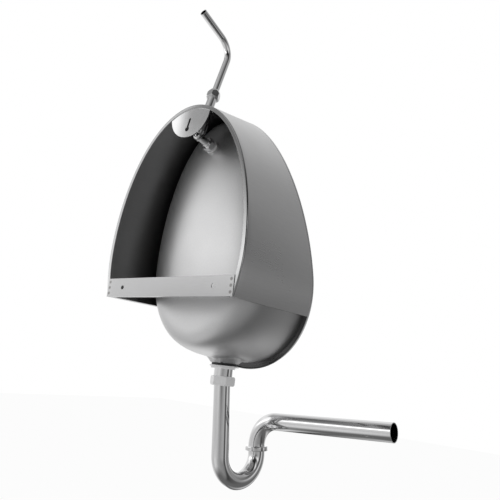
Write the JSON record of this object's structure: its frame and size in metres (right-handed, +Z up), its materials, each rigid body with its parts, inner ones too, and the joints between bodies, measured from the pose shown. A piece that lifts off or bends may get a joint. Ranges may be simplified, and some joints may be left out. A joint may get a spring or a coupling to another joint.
{
  "type": "urinal",
  "caption": "Wall-hung stainless steel urinal with an egg-shaped bowl, folded skirt, bent flush pipe and a swivelling tubular trap with outlet arm.",
  "frame": {"origin": "on the wall, midway between the two fixing holes of the wall strip", "axes": "+Z up, +Y into the wall, -Y towards the user, +X to the left of someone who stands behind it, which is the pictured side"},
  "size_m": [0.5481, 0.3625, 1.0296],
  "materials": {
    "satin_steel": "satin stainless sheet",
    "polished_steel": "polished tube and turned fittings",
    "black_rubber": "moulded rubber",
    "pale_plastic": "moulded plastic washer"
  },
  "bodies": {
    "shell": {"bowl": "satin_steel", "skirt": "satin_steel", "wall_strip": "satin_steel", "hanger_plate": "satin_steel", "spray_body": "polished_steel", "spray_cap": "polished_steel", "spray_screw": "polished_steel", "inlet_washer": "pale_plastic", "inlet_backnut": "polished_steel", "elbow_nut": "polished_steel", "inlet_elbow": "polished_steel", "inlet_riser": "polished_steel", "strainer": "polished_steel", "strainer_screw": "polished_steel", "waste_body": "polished_steel", "waste_seal": "pale_plastic", "waste_gasket": "black_rubber", "waste_backnut": "polished_steel", "slip_seal": "black_rubber"},
    "compression_nut": {"compression_nut": "polished_steel"},
    "flush_pipe": {"flush_pipe": "polished_steel", "compression_ring": "black_rubber"},
    "slip_nut": {"slip_nut": "polished_steel"},
    "trap": {"trap_bend": "polished_steel", "union_washer": "black_rubber"},
    "union_nut": {"union_nut": "polished_steel"},
    "outlet": {"outlet_arm": "polished_steel"}
  },
  "joints": [
    {"name": "flush_pipe_swivel", "type": "hinge", "parent": "shell", "child": "flush_pipe", "pos_m": [0, -0.034, 0.338], "axis": [0, -0.2588, 0.9659], "range_deg": [-90, 90]},
    {"name": "compression_nut_turn", "type": "hinge", "parent": "shell", "child": "compression_nut", "pos_m": [0, -0.034, 0.338], "axis": [0, -0.2588, 0.9659], "range_deg": [0, 90]},
    {"name": "slip_nut_turn", "type": "hinge", "parent": "shell", "child": "slip_nut", "pos_m": [0, -0.215, -0.1735], "axis": [0, 0, -1], "range_deg": [0, 90]},
    {"name": "trap_swivel", "type": "hinge", "parent": "shell", "child": "trap", "pos_m": [0, -0.215, -0.1735], "axis": [0, 0, 1], "range_deg": [-40, 90]},
    {"name": "union_nut_turn", "type": "hinge", "parent": "trap", "child": "union_nut", "pos_m": [-0.02944, -0.33112, -0.31791], "axis": [0.0696, 0.0525, 0.9962], "range_deg": [0, 90]},
    {"name": "outlet_swivel", "type": "hinge", "parent": "trap", "child": "outlet", "pos_m": [-0.02944, -0.33112, -0.31791], "axis": [0.0696, 0.0525, 0.9962], "range_deg": [-70, 230]}
  ]
}
